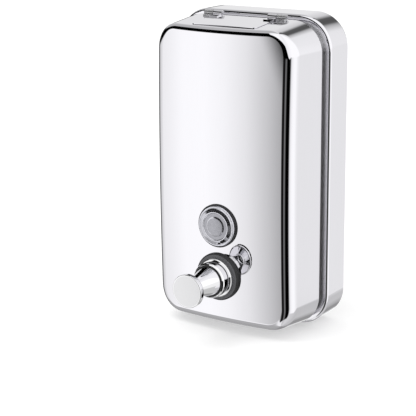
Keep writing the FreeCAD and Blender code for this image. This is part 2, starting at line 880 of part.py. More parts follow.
def pump_cylinder():
    wall_rear = -(d.cylinder_front + d.cylinder_wall)
    guide = d.rod_radius + d.rod_guide_play
    points = [
        (cylinder_rear, d.cylinder_bore_radius),
        (cylinder_rear, d.cylinder_radius),
        (-d.cylinder_front, d.cylinder_radius),
        (-d.cylinder_front, guide),
        (wall_rear, guide),
        (wall_rear, d.cylinder_bore_radius),
    ]
    return turned("pump_cylinder", points, pump_depth, pump_z)


cap_front = cylinder_rear + d.inlet_wall
cap_flange_rear = cylinder_rear - d.cap_flange
cap_body_rear = cap_flange_rear - d.cap_body_length


def inlet_cap():
    """Closes the cylinder: a caged ball chamber, its seat and the spigot for the pickup tube."""
    chamber_front = cylinder_rear
    seat = cap_body_rear + d.inlet_wall
    points = [
        (cap_body_rear - d.spigot_length, d.inlet_hole_radius),
        (cap_body_rear - d.spigot_length, d.spigot_radius),
        (cap_body_rear, d.spigot_radius),
        (cap_body_rear, d.cap_body_radius),
        (cap_flange_rear, d.cap_body_radius),
        (cap_flange_rear, d.cylinder_radius),
        (cylinder_rear, d.cylinder_radius),
        (cylinder_rear, d.cylinder_bore_radius - d.weld_gap),
        (cap_front, d.cylinder_bore_radius - d.weld_gap),
        (cap_front, 0.0),
        (chamber_front, 0.0),
        (chamber_front, d.inlet_chamber_radius),
        (seat, d.inlet_chamber_radius),
        (seat, d.inlet_hole_radius),
    ]
    blank = turned("inlet_cap_blank", points, pump_depth, pump_z)
    holes = []
    for rank, (side, lift) in enumerate(((1, 0), (0, 1), (-1, 0), (0, -1)), start=1):
        holes.append(cylinder(
            f"cage_hole_{rank}", d.cage_hole_radius, d.inlet_wall + d.over_cut * 2,
            d.cage_ring_radius * side, -pump_depth - cylinder_rear + d.over_cut,
            pump_z + d.cage_ring_radius * lift, UP_TO_OUTWARD,
        ))
    return cut("inlet_cap", blank, *holes)


def inlet_ball():
    seat = cap_body_rear + d.inlet_wall
    centre = seat + d.inlet_ball_radius + d.weld_gap
    return primitive("Sphere", "inlet_ball", 0.0, -pump_depth - centre, pump_z,
                     Radius=d.inlet_ball_radius)


def return_spring():
    """Pushes the piston and knob back out; it sits round the spigot."""
    front = piston_front - d.piston_length - 0.1
    rear = cap_front + 0.1
    span = front - rear - d.spring_wire_radius * 2
    body = new_body("return_spring")
    sketch = sketch_on(body, "spring_wire", "XZ_Plane")
    draw_circle(sketch, d.spring_radius, d.spring_wire_radius, d.spring_wire_radius)
    coil = body.newObject("PartDesign::AdditiveHelix", "spring_coil")
    coil.Profile = sketch
    coil.ReferenceAxis = (sketch, ["V_Axis"])
    coil.Mode = 1
    bind(coil, Pitch=span / d.spring_turns, Turns=d.spring_turns)
    return place(body, 0.0, -pump_depth - rear, pump_z, UP_TO_OUTWARD)


def bent_rod(name, radius, overrun):
    """The pickup tube's route as a solid: back from the cap, round a quarter bend and down."""
    run = d.spigot_length + 0.2
    bend_y = -pump_depth - cap_body_rear + run
    floor = tank_bottom + d.sheet_gauge + d.tube_floor_gap
    low = floor - overrun
    across = cylinder(f"{name}_across", radius, run + overrun, 0.0, bend_y, pump_z, UP_TO_OUTWARD)
    bend = primitive("Torus", f"{name}_bend", 0.0, bend_y, pump_z - d.tube_bend_radius,
                     Rotation(Vector(0, 1, 0), Vector(0, 0, 1), Vector(1, 0, 0), "ZXY"),
                     Radius1=d.tube_bend_radius, Radius2=radius, Angle3=90.0)
    down = cylinder(f"{name}_down", radius, pump_z - d.tube_bend_radius - low, 0.0,
                    bend_y + d.tube_bend_radius, low)
    return fuse(name, across, bend, down)


def pickup_tube():
    outer = bent_rod("tube_outer", d.tube_radius, 0.0)
    inner = bent_rod("tube_inner", d.tube_radius - d.tube_gauge, 1.0)
    return cut("pickup_tube", outer, inner)


# ---------------------------------------------------------------- wall plate and hanger

plate_low = -d.plate_below_screws
plate_high = plate_low + d.plate_height


def trapezoid(body, name, depth, inset, low, high):
    """The plate's outline at one depth; the inset moves its sloping sides inward."""
    sketch = sketch_on(body, name, "XZ_Plane", depth)
    base = d.plate_base_width / 2 - inset
    top = d.plate_top_width / 2 - inset
    draw_polygon(sketch, [(-base, low), (base, low), (top, high), (-top, high)])
    return sketch


def dovetail(name, near, far, near_inset, far_inset, low, high):
    """A solid between two trapezoids at two depths."""
    body = new_body(name)
    first = trapezoid(body, f"{name}_near", near, near_inset, low, high)
    second = trapezoid(body, f"{name}_far", far, far_inset, low, high)
    loft = body.newObject("PartDesign::AdditiveLoft", f"{name}_loft")
    loft.Profile = first
    loft.Sections = [second]
    loft.Ruled = True
    return body


def wall_plate():
    """A pressed plate: its sides lean back under its face, so that the hanger's rails hold it."""
    gauge = d.plate_gauge
    face = dovetail("plate_block", ZERO, d.plate_depth, d.plate_undercut, ZERO,
                    plate_low, plate_high)
    hollow = dovetail("plate_hollow", -gauge, d.plate_depth - gauge, d.plate_undercut + gauge * 1.6,
                      gauge, plate_low - gauge, plate_high - gauge)
    tray = cut("plate_tray", face, hollow)
    holes = [
        ("left", d.screw_spacing / -2, 0.0),
        ("right", d.screw_spacing / 2, 0.0),
        ("upper", 0.0, d.upper_screw_rise),
    ]
    solids = [tray]
    bores = []
    for word, x, z in holes:
        solids.append(cylinder(f"hole_collar_{word}", d.hole_collar_radius, d.plate_depth, x, 0.0,
                               z, UP_TO_OUTWARD))
        bores.append(cylinder(f"screw_hole_{word}", d.screw_hole_radius, d.plate_depth + d.over_cut * 2, x,
                              1.0, z, UP_TO_OUTWARD))
    solids.append(window_dish("dish_outer", d.plate_window_dish + gauge, gauge))
    bores.append(window_dish("dish_inner", d.plate_window_dish, ZERO))
    return cut("wall_plate", fuse("plate_solid", *solids), *bores)


def window_dish(name, face_margin, wall_margin):
    """The plate's square window, whose sides and foot slope back to the wall."""
    body = new_body(name)
    half = d.plate_window_width / 2
    high = -d.plate_window_drop + d.plate_window_height / 2
    low = -d.plate_window_drop - d.plate_window_height / 2
    sections = []
    for word, depth, margin in (("wall", ZERO, wall_margin),
                                ("face", d.plate_depth, face_margin)):
        sketch = sketch_on(body, f"{name}_{word}", "XZ_Plane", depth)
        draw_rectangle(sketch, -(half + margin), half + margin, low - margin, high + wall_margin)
        sections.append(sketch)
    loft = body.newObject("PartDesign::AdditiveLoft", f"{name}_loft")
    loft.Profile = sections[0]
    loft.Sections = [sections[1]]
    loft.Ruled = True
    return body


def hanger_rail(word, side):
    """One rail of the hanger, parallel to the plate's leaning side with a little play."""
    body = new_body(f"rail_{word}")
    slope = d.plate_undercut / d.plate_depth
    root = d.panel_depth
    tip = d.rail_end_gap
    low = plate_low + d.rail_short
    high = plate_high - d.rail_short
    run = (d.plate_base_width - d.plate_top_width) / 2 / d.plate_height
    sections = []
    for end, level in (("low", low), ("high", high)):
        side_x = d.plate_base_width / 2 - run * (level - plate_low) + d.hanger_play
        sketch = sketch_on(body, f"rail_{word}_{end}", "XY_Plane", level)
        at_root = side_x + slope * (root - d.plate_depth)
        at_tip = side_x - slope * (d.plate_depth - tip)
        draw_polygon(sketch, [
            (at_root * side, -root),
            ((at_root + d.rail_gauge) * side, -root),
            ((at_tip + d.rail_gauge) * side, -tip),
            (at_tip * side, -tip),
        ])
        sections.append(sketch)
    loft = body.newObject("PartDesign::AdditiveLoft", f"rail_{word}_loft")
    loft.Profile = sections[0]
    loft.Sections = [sections[1]]
    loft.Ruled = True
    return body


def hanger_bracket():
    """A sheet welded to the tank's back, with the two rails that drop over the wall plate."""
    width = d.plate_base_width + d.hanger_margin * 2 + d.rail_gauge * 2
    sheet = primitive("Box", "hanger_sheet", width / -2, -d.panel_depth,
                      plate_low + d.rail_short - d.over_cut, Length=width, Width=d.hanger_gauge,
                      Height=d.plate_height)
    rails = [hanger_rail(word, side) for word, side in LEFT_AND_RIGHT.items()]
    return fuse("hanger_bracket", sheet, *rails)


# ---------------------------------------------------------------- build, check and write

SUB_PARTS = (
    rear_shell, front_shell, seam_band, back_panel, filler_seat, lid, lid_seal, window_gasket,
    window_lens, window_washer, window_nut, pump_gasket, valve_body, wiper_seal, pump_washer,
    pump_nut, push_knob, piston_rod, piston, piston_seal, outlet_ball, pump_cylinder, inlet_cap,
    inlet_ball, return_spring, pickup_tube, wall_plate, hanger_bracket,
)

for make in SUB_PARTS:
    piece(make.__name__, make())
for word, side in LEFT_AND_RIGHT.items():
    piece(f"hinge_bracket_{word}", hinge_bracket(word, side))
    piece(f"hinge_pin_{word}", hinge_pin(word, side))
doc.recompute()

for obj in doc.Objects:
    if "Invalid" in obj.State or "Error" in obj.State:
        raise RuntimeError(f"{obj.Name} failed: {obj.State}")
for label, obj in pieces.items():
    if obj.Shape.isNull() or not obj.Shape.isValid() or not obj.Shape.Solids:
        raise RuntimeError(f"{label} has no valid solid")

os.makedirs("parts", exist_ok=True)
for label, obj in pieces.items():
    obj.Shape.exportStep(f"parts/{label}.step")
    print(label, len(obj.Shape.Solids), "solid(s),", round(obj.Shape.Volume, 1), "mm3")
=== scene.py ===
"""Wall mounted push-valve soap dispenser of polished stainless steel.

Gives the CAD nodes their finishes, draws four of them again with finer surfaces, and sets up the studio
and the camera.
"""
import math

import bmesh
import bpy
from mathutils import Matrix, Vector
from mathutils.kdtree import KDTree


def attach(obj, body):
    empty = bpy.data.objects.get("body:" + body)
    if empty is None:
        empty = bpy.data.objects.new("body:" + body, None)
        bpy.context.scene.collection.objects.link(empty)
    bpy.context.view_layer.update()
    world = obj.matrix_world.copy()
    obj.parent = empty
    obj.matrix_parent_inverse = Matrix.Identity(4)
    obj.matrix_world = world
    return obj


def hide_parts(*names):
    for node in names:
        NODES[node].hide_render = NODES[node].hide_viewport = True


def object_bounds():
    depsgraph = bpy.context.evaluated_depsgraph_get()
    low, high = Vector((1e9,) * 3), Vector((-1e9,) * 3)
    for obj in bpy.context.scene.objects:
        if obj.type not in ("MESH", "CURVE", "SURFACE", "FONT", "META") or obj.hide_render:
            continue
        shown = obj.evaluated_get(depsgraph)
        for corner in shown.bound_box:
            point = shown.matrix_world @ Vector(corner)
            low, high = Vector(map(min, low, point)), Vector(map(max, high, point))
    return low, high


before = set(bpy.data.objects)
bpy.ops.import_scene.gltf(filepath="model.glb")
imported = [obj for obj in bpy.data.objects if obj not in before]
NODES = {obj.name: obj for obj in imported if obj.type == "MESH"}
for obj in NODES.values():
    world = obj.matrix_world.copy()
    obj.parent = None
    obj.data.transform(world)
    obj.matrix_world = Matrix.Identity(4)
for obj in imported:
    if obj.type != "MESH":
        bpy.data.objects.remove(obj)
cad_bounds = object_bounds()
MM = 0.001

# ---------------------------------------------------------------- camera
CAMERA_YAW = math.radians(33.07)
CAMERA_PITCH = math.radians(14.10)
CAMERA_ROLL = math.radians(-0.38)
CAMERA_DISTANCE = 0.9407
CAMERA_TARGET = Vector((-0.04653, -0.0006, -0.03547))
CAMERA_LENS_MM = 116.6
CAMERA_SENSOR_MM = 36.0
CAMERA_SHIFT = (-0.01354, -0.05097)
CAMERA_CLIP = (0.05, 20.0)


def add_camera():
    """The main view: yaw, pitch and roll round the target."""
    back = Vector((
        math.sin(CAMERA_YAW) * math.cos(CAMERA_PITCH),
        -math.cos(CAMERA_YAW) * math.cos(CAMERA_PITCH),
        math.sin(CAMERA_PITCH),
    ))
    level = Vector((math.cos(CAMERA_YAW), math.sin(CAMERA_YAW), 0.0))
    upright = back.cross(level)
    right = level * math.cos(CAMERA_ROLL) + upright * math.sin(CAMERA_ROLL)
    up = upright * math.cos(CAMERA_ROLL) - level * math.sin(CAMERA_ROLL)
    camera = bpy.data.objects.new("camera", bpy.data.cameras.new("camera"))
    camera.data.lens = CAMERA_LENS_MM
    camera.data.sensor_width = CAMERA_SENSOR_MM
    camera.data.shift_x, camera.data.shift_y = CAMERA_SHIFT
    camera.data.clip_start, camera.data.clip_end = CAMERA_CLIP
    turn = Matrix((right, up, back)).transposed().to_4x4()
    camera.matrix_world = Matrix.Translation(CAMERA_TARGET + back * CAMERA_DISTANCE) @ turn
    bpy.context.scene.collection.objects.link(camera)
    bpy.context.scene.camera = camera


add_camera()


# ---------------------------------------------------------------- node helpers
# The first input, second input and output of each kind of mix.
MIX_SOCKETS = {"RGBA": (6, 7, 2), "FLOAT": (2, 3, 0)}


def link(tree, value, socket):
    """Set a socket to a constant, or link it to an output."""
    if isinstance(value, bpy.types.NodeSocket):
        tree.links.new(value, socket)
    else:
        socket.default_value = value


def math_node(tree, operation, *values):
    """One math step on constants or outputs."""
    node = tree.nodes.new("ShaderNodeMath")
    node.operation = operation
    for socket, value in zip(node.inputs, values):
        link(tree, value, socket)
    return node.outputs[0]


def map_range(tree, value, from_min, from_max, to_min, to_max, smooth=False):
    """Carry a value from one range to another, clamped to it."""
    node = tree.nodes.new("ShaderNodeMapRange")
    node.interpolation_type = "SMOOTHSTEP" if smooth else "LINEAR"
    for socket, item in zip(node.inputs, (value, from_min, from_max, to_min, to_max)):
        link(tree, item, socket)
    return node.outputs[0]


def mix(tree, kind, factor, a, b):
    """Mix two colours (RGBA) or two values (FLOAT)."""
    node = tree.nodes.new("ShaderNodeMix")
    node.data_type = kind
    first, second, result = MIX_SOCKETS[kind]
    link(tree, factor, node.inputs[0])
    link(tree, a, node.inputs[first])
    link(tree, b, node.inputs[second])
    return node.outputs[result]


def ramp(tree, value, points):
    """Brightness ramp through points of (position, brightness)."""
    node = tree.nodes.new("ShaderNodeValToRGB")
    elements = node.color_ramp.elements
    while len(elements) < len(points):
        elements.new(1.0)
    for element, (position, level) in zip(elements, points):
        element.position = position
        element.color = (level, level, level, 1.0)
    link(tree, value, node.inputs[0])
    return node.outputs[0]


def noise(tree, scale, stretch, detail):
    """Noise in the row frame; scale is in cells per metre."""
    place = tree.nodes.new("ShaderNodeTexCoord")
    mapping = tree.nodes.new("ShaderNodeMapping")
    mapping.inputs["Scale"].default_value = stretch
    tree.links.new(place.outputs["Object"], mapping.inputs["Vector"])
    node = tree.nodes.new("ShaderNodeTexNoise")
    node.inputs["Scale"].default_value = scale
    node.inputs["Detail"].default_value = detail
    tree.links.new(mapping.outputs["Vector"], node.inputs["Vector"])
    return node.outputs[0]


# ---------------------------------------------------------------- finishes
# Scale of the fine noise along each axis: a small number draws the grain out that way.
ROUND = (1.0, 1.0, 1.0)
ALONG_Z = (1.0, 1.0, 0.03)
ALONG_X = (0.03, 1.0, 1.0)
ALONG_Y = (1.0, 0.03, 1.0)
GRAIN_DETAIL = 3.0
CLOUD_SCALE = 9.0
CLOUD_DETAIL = 2.0
CLOUD_SHARE = 0.6
BLEND_RANGE = (0.5, 1.1)  # the part of grain plus cloud that spans the two colours
BUMP_DEPTH = 0.02 * MM


def finish_material(name, colour, grain, rough, metallic=0.0, bump=0.0, constants=None):
    """One procedural finish.

    colour: (darker, lighter) base colours mixed by the grain and by a soft cloud.
    grain: (scale, stretch) of the fine structure.
    rough: (lowest, highest) roughness, driven by the grain and the cloud.
    bump: strength of the grain's relief.
    constants: Principled sockets that are the same all over.
    """
    material = bpy.data.materials.new(name)
    material.use_nodes = True
    tree = material.node_tree
    shader = tree.nodes["Principled BSDF"]
    fine = noise(tree, *grain, GRAIN_DETAIL)
    cloud = noise(tree, CLOUD_SCALE, ROUND, CLOUD_DETAIL)
    total = math_node(tree, "ADD", fine, math_node(tree, "MULTIPLY", cloud, CLOUD_SHARE))
    both = map_range(tree, total, *BLEND_RANGE, 0.0, 1.0)
    darker, lighter = colour
    tree.links.new(mix(tree, "RGBA", both, (*darker, 1.0), (*lighter, 1.0)), shader.inputs["Base Color"])
    tree.links.new(mix(tree, "FLOAT", both, *rough), shader.inputs["Roughness"])
    shader.inputs["Metallic"].default_value = metallic
    if bump:
        node = tree.nodes.new("ShaderNodeBump")
        node.inputs["Strength"].default_value = bump
        node.inputs["Distance"].default_value = BUMP_DEPTH
        tree.links.new(fine, node.inputs["Height"])
        tree.links.new(node.outputs["Normal"], shader.inputs["Normal"])
    for socket, value in (constants or {}).items():
        shader.inputs[socket].default_value = value
    return material


CLEAR_PLUG = {"Transmission Weight": 0.5, "IOR": 1.49}
FINISH_SETTINGS = {
    "polished_steel": dict(
        colour=((0.81, 0.803, 0.835), (0.825, 0.818, 0.85)),
        grain=(2600.0, ALONG_Z), rough=(0.012, 0.035), metallic=1.0),
    "plain_steel": dict(
        colour=((0.55, 0.55, 0.56), (0.66, 0.66, 0.67)),
        grain=(3000.0, ALONG_X), rough=(0.24, 0.38), metallic=1.0, bump=0.15),
    "brushed_steel": dict(
        colour=((0.40, 0.38, 0.36), (0.66, 0.63, 0.60)),
        grain=(2200.0, ALONG_Z), rough=(0.26, 0.42), metallic=1.0, bump=0.3, constants={"Anisotropic": 0.5}),
    "chrome": dict(
        colour=((0.84, 0.84, 0.85), (0.88, 0.88, 0.89)),
        grain=(1800.0, ROUND), rough=(0.01, 0.03), metallic=1.0),
    "black_rubber": dict(
        colour=((0.012, 0.012, 0.013), (0.03, 0.03, 0.032)),
        grain=(4200.0, ROUND), rough=(0.42, 0.6), bump=0.25, constants={"Specular IOR Level": 0.4}),
    "clear_acrylic": dict(
        colour=((0.66, 0.66, 0.71), (0.74, 0.74, 0.79)),
        grain=(420.0, ROUND), rough=(0.01, 0.03), metallic=0.93, constants=CLEAR_PLUG),
    # A darker copy of clear_acrylic: painted shade for the dark inside of the tank seen through the lens.
    "lens_painted_shade": dict(
        colour=((0.34, 0.34, 0.37), (0.40, 0.40, 0.43)),
        grain=(420.0, ROUND), rough=(0.02, 0.05), metallic=0.9, constants=CLEAR_PLUG),
    "button_face": dict(
        colour=((0.66, 0.66, 0.67), (0.70, 0.70, 0.71)),
        grain=(2400.0, ROUND), rough=(0.05, 0.09), metallic=1.0),
    "gasket_face": dict(
        colour=((0.085, 0.085, 0.092), (0.12, 0.12, 0.128)),
        grain=(3800.0, ROUND), rough=(0.45, 0.6), bump=0.2, constants={"Specular IOR Level": 0.4}),
    "grey_nylon": dict(
        colour=((0.13, 0.135, 0.145), (0.19, 0.195, 0.205)),
        grain=(3600.0, ROUND), rough=(0.4, 0.55), bump=0.2),
    "nickel_brass": dict(
        colour=((0.50, 0.44, 0.30), (0.66, 0.58, 0.42)),
        grain=(2500.0, ALONG_Y), rough=(0.2, 0.34), metallic=1.0, bump=0.2),
    "white_plastic": dict(
        colour=((0.72, 0.72, 0.70), (0.80, 0.80, 0.78)),
        grain=(3000.0, ROUND), rough=(0.3, 0.45), bump=0.12, constants={"Subsurface Weight": 0.05}),
    "clear_tube": dict(
        colour=((0.70, 0.73, 0.73), (0.80, 0.83, 0.83)),
        grain=(1500.0, ALONG_Z), rough=(0.12, 0.25), constants={"Transmission Weight": 0.5, "IOR": 1.5}),
    "spring_steel": dict(
        colour=((0.55, 0.55, 0.56), (0.70, 0.70, 0.71)),
        grain=(3200.0, ALONG_Y), rough=(0.15, 0.28), metallic=1.0, bump=0.1),
}
FINISHES = {name: finish_material(name, **settings) for name, settings in FINISH_SETTINGS.items()}


# ---------------------------------------------------------------- drawn front shell
# All sizes below are in millimetres in the row frame. The face is a barrel with an upright axis, and the
# walls draw in towards it. The bend between them is wide down the two sides and tighter along the top and
# bottom.
GAUGE = 0.9
RIM_Y = -29.1
RIM_HALF_WIDTH = 54.5
RIM_HALF_HEIGHT = 100.0
RIM_CORNER = 20.5
RIM_LIP = 2.2
RIM_ROUND = 2.0
MIDDLE_Z = -10.5
FACE_Y = -67.7
FACE_RADIUS = 250.0
FACE_TALL_RADIUS = 2150.0
FACE_AXIS_Y = FACE_Y + FACE_RADIUS
DRAFT = math.radians(6.0)
SIDE_BEND = 9.2
TOP_BEND = 4.2
BOTTOM_BEND = 5.6
WINDOW_Z = -40.7
WINDOW_HOLE = 10.4
PUMP_Z = -74.8
PUMP_HOLE = 11.2
LID_OPENING = (47.6, 25.6, 5.9, 2.0)  # width, length, distance from the rear rim, corner
HOLE_REACH = (55.0, 80.0)  # the cutters of the round holes run between these distances from the wall
LID_REACH = (-3.0, 3.0)
SIDE_STEPS, END_STEPS, CORNER_STEPS = 40, 20, 20
RIM_STEPS, WALL_STEPS, BEND_STEPS, FACE_STEPS = 6, 5, 14, 18
FACE_SPACING = 1.15  # above 1 puts the face's rings closer together near its edge
RUN_RANGE = (4.0, 40.0)  # shortest and longest wall to search between
SEARCH_STEPS = 40
FIRST_TILT = 0.2
TILT_STEPS = 8
SLOPE_STEP = 0.01
SHARP_ANGLE = math.radians(35.0)
SAME_POINT = 0.2  # how far a corner may be from a known point of the skin
ON_FACE = 0.05  # how far a cut corner may be from the face
SAME_SIDE = 0.8  # least agreement between a known direction and the polygon's own


def face_radius(z, inset):
    """The barrel's radius at a height; it shrinks away from the middle."""
    return FACE_RADIUS - inset - (z - MIDDLE_Z) ** 2 / (2 * FACE_TALL_RADIUS)


def face_y(x, z, inset):
    return FACE_AXIS_Y - math.sqrt(face_radius(z, inset) ** 2 - x * x)


def face_normal(x, z, inset):
    radius = face_radius(z, inset)
    y = face_y(x, z, inset)
    return Vector((x / radius, (y - FACE_AXIS_Y) / radius, (z - MIDDLE_Z) / FACE_TALL_RADIUS)).normalized()


def rim_outline(inset):
    """Points round the rim with their outward directions in the XZ plane."""
    corner = RIM_CORNER - inset
    half_w = RIM_HALF_WIDTH - RIM_CORNER
    half_h = RIM_HALF_HEIGHT - RIM_CORNER
    centres = [Vector((sx * half_w, sz * half_h)) for sx, sz in ((1, 1), (-1, 1), (-1, -1), (1, -1))]
    points = []
    for quarter, steps in enumerate((SIDE_STEPS, END_STEPS, SIDE_STEPS, END_STEPS)):
        # the straight run before this corner, then the corner itself
        before, centre = centres[quarter - 1], centres[quarter]
        turn_start = quarter * math.pi / 2
        facing = Vector((math.cos(turn_start), math.sin(turn_start)))
        for i in range(1, steps):
            points.append((before.lerp(centre, i / steps) + facing * corner, facing))
        for i in range(CORNER_STEPS + 1):
            angle = turn_start + math.pi / 2 * i / CORNER_STEPS
            facing = Vector((math.cos(angle), math.sin(angle)))
            points.append((centre + facing * corner, facing))
    return [(p + Vector((0.0, MIDDLE_Z)), n) for p, n in points]


def solve_bend(depth_at, rim_y, bend):
    """Where a bend of that radius touches the wall and the face, in a section (inward distance, y)."""

    def touch(run):
        centre = (run * math.sin(DRAFT) + bend * math.cos(DRAFT),
                  rim_y - run * math.cos(DRAFT) + bend * math.sin(DRAFT))
        tilt = FIRST_TILT
        for _ in range(TILT_STEPS):
            q = centre[0] - bend * math.sin(tilt)
            tilt = math.atan((depth_at(q - SLOPE_STEP) - depth_at(q + SLOPE_STEP)) / (2 * SLOPE_STEP))
        q = centre[0] - bend * math.sin(tilt)
        return centre, tilt, centre[1] - bend * math.cos(tilt) - depth_at(q)

    low, high = RUN_RANGE
    for _ in range(SEARCH_STEPS):
        run = (low + high) / 2
        if touch(run)[2] > 0:
            low = run
        else:
            high = run
    centre, tilt, _ = touch(run)
    return run, centre, tilt


def shell_skin(inset):
    """Rings of (point, normal) from the rim's lip round the wall and bend to the face's middle."""
    rim_y = RIM_Y - inset
    rim_round = RIM_ROUND - inset
    columns = []
    for p, n in rim_outline(inset):
        side_share = n.x * n.x
        end_bend = TOP_BEND if n.y > 0 else BOTTOM_BEND
        bend = SIDE_BEND * side_share + end_bend * (1 - side_share) - inset

        def depth_at(q):
            return face_y(p.x - q * n.x, p.y - q * n.y, inset)

        def at(q, y, out, forward):
            """A point q inside the rim's outline; its normal has a share along n and one along Y."""
            return Vector((p.x - q * n.x, y, p.y - q * n.y)), Vector((out * n.x, forward, out * n.y))

        run, centre, tilt = solve_bend(depth_at, rim_y, bend)
        column = [at(RIM_LIP - inset, rim_y, 0.0, 1.0)]
        rim_q = rim_round * (1 + math.sin(DRAFT)) / math.cos(DRAFT)
        for i in range(RIM_STEPS + 1):
            a = (math.pi / 2 + DRAFT) * i / RIM_STEPS
            column.append(at(rim_q - rim_round * math.sin(a), rim_y - rim_round + rim_round * math.cos(a),
                             math.sin(a), math.cos(a)))
        rim_end = column[-1][0].y
        wall_end = rim_y - run * math.cos(DRAFT)
        for i in range(1, WALL_STEPS):
            y = rim_end + (wall_end - rim_end) * i / WALL_STEPS
            column.append(at((rim_y - y) * math.tan(DRAFT), y, math.cos(DRAFT), -math.sin(DRAFT)))
        for i in range(BEND_STEPS + 1):
            a = DRAFT + (math.pi / 2 - tilt - DRAFT) * i / BEND_STEPS
            column.append(at(centre[0] - bend * math.cos(a), centre[1] - bend * math.sin(a),
                             math.cos(a), -math.sin(a)))
        edge = column[-1][0]
        column[-1] = (edge, face_normal(edge.x, edge.z, inset))
        for i in range(1, FACE_STEPS):
            share = 1 - (i / FACE_STEPS) ** FACE_SPACING
            x, z = edge.x * share, MIDDLE_Z + (edge.z - MIDDLE_Z) * share
            column.append((Vector((x, face_y(x, z, inset), z)), face_normal(x, z, inset)))
        columns.append(column)
    return columns


def new_object(name, mesh, slot=None, body=None, stands_for=()):
    """Link a mesh as a piece of the object, or as a bare cutter when it has no slot."""
    mesh.polygons.foreach_set("use_smooth", [True] * len(mesh.polygons))
    made = bpy.data.objects.new(name, mesh)
    bpy.context.scene.collection.objects.link(made)
    if slot:
        mesh.materials.append(FINISHES[slot])
        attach(made, body)
        if stands_for:
            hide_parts(*stands_for)
    return made


def mesh_from(name, bm):
    """A mesh in metres from a bmesh in millimetres."""
    bmesh.ops.scale(bm, vec=(MM, MM, MM), verts=bm.verts)
    mesh = bpy.data.meshes.new(name)
    bm.to_mesh(mesh)
    bm.free()
    return mesh


def prism(name, outline, reach, place):
    """A closed block over an outline in the local XY plane, between the two heights of its reach."""
    bm = bmesh.new()
    rings = [[bm.verts.new(place @ Vector((x, y, z))) for x, y in outline] for z in reach]
    bm.faces.new(rings[0])
    bm.faces.new(rings[1])
    for i in range(len(outline)):
        j = (i + 1) % len(outline)
        bm.faces.new((rings[0][i], rings[0][j], rings[1][j], rings[1][i]))
    bmesh.ops.recalc_face_normals(bm, faces=bm.faces)
    return new_object(name, mesh_from(name, bm))


def circle(radius, steps=72):
    turns = [math.tau * i / steps for i in range(steps)]
    return [(radius * math.cos(turn), radius * math.sin(turn)) for turn in turns]


def rounded_rectangle(x0, x1, y0, y1, corner, steps=8):
    centres = ((x1 - corner, y1 - corner), (x0 + corner, y1 - corner), (x0 + corner, y0 + corner),
               (x1 - corner, y0 + corner))
    points = []
    for quarter, (cx, cy) in enumerate(centres):
        for i in range(steps + 1):
            a = math.pi / 2 * (quarter + i / steps)
            points.append((cx + corner * math.cos(a), cy + corner * math.sin(a)))
    return points


def cut_away(made, cutters):
    """Apply boolean cuts and drop the cutters."""
    for cutter in cutters:
        modifier = made.modifiers.new("cut", "BOOLEAN")
        modifier.operation = "DIFFERENCE"
        modifier.solver = "EXACT"
        modifier.object = cutter
    bpy.context.view_layer.update()
    cut_mesh = bpy.data.meshes.new_from_object(made.evaluated_get(bpy.context.evaluated_depsgraph_get()))
    made.modifiers.clear()
    made.data = cut_mesh
    for cutter in cutters:
        bpy.data.objects.remove(cutter)


def make_front_shell():
    """The outer and inner skins joined at the rim's lip, with the holes for window, pump and lid cut out."""
    bm = bmesh.new()
    known = []
    skins = []
    for inset, flip in ((0.0, 1.0), (GAUGE, -1.0)):
        columns = shell_skin(inset)
        made = [[bm.verts.new(point) for point, _ in column] for column in columns]
        middle = Vector((0.0, face_y(0.0, MIDDLE_Z, inset), MIDDLE_Z))
        pole = bm.verts.new(middle)
        for column in columns:
            known += [(point, normal * flip) for point, normal in column]
        known.append((middle, Vector((0.0, -flip, 0.0))))
        count = len(made)
        for i in range(count):
            here, there = made[i], made[(i + 1) % count]
            for k in range(len(here) - 1):
                bm.faces.new((here[k], there[k], there[k + 1], here[k + 1]))
            bm.faces.new((here[-1], there[-1], pole))
        skins.append(made)
    outer, inner = skins
    for i in range(len(outer)):
        j = (i + 1) % len(outer)
        bm.faces.new((outer[i][0], outer[j][0], inner[j][0], inner[i][0]))
    bmesh.ops.recalc_face_normals(bm, faces=bm.faces)
    shell = new_object("front_shell_drawn", mesh_from("front_shell_drawn", bm), "polished_steel", "tank",
                       ("front_shell",))
    along_y = Matrix.Rotation(math.radians(90), 4, "X")
    lid_place = Matrix.Translation((0.0, RIM_Y, MIDDLE_Z + RIM_HALF_HEIGHT)) @ Matrix.Rotation(DRAFT, 4, "X")
    width, length, setback, corner = LID_OPENING
    opening = rounded_rectangle(-width / 2, width / 2, -setback - length, -setback, corner)
    cut_away(shell, [
        prism("window_cut", circle(WINDOW_HOLE), HOLE_REACH, Matrix.Translation((0, 0, WINDOW_Z)) @ along_y),
        prism("pump_cut", circle(PUMP_HOLE), HOLE_REACH, Matrix.Translation((0, 0, PUMP_Z)) @ along_y),
        prism("lid_cut", opening, LID_REACH, lid_place),
    ])
    true_normals(shell.data, known)


def true_normals(mesh, known):
    """Set the exact surface directions on both skins, so that reflections run smoothly over the mesh."""
    tree = KDTree(len(known))
    for index, (point, _) in enumerate(known):
        tree.insert(point * MM, index)
    tree.balance()
    mesh.set_sharp_from_angle(angle=SHARP_ANGLE)
    normals = []
    for polygon in mesh.polygons:
        for loop in polygon.loop_indices:
            point = mesh.vertices[mesh.loops[loop].vertex_index].co
            _, index, distance = tree.find(point)
            normal = known[index][1] if distance < SAME_POINT * MM else None
            if normal is None:
                inset = 0.0 if polygon.normal.y < 0 else GAUGE
                if abs(point.y / MM - face_y(point.x / MM, point.z / MM, inset)) < ON_FACE:
                    normal = face_normal(point.x / MM, point.z / MM, inset) * (1.0 if inset == 0.0 else -1.0)
            keep = normal is not None and normal.dot(polygon.normal) > SAME_SIDE
            normals.append(normal.normalized() if keep else (0.0, 0.0, 0.0))
    mesh.normals_split_custom_set(normals)


# The recessed band and the hinge parts show a satin finish. Their slot's mirror finish comes out speckled at
# their size.
OWN_FINISH = dict.fromkeys((
    "seam_band", "hinge_bracket_left", "hinge_bracket_right", "hinge_pin_left", "hinge_pin_right",
), "plain_steel")


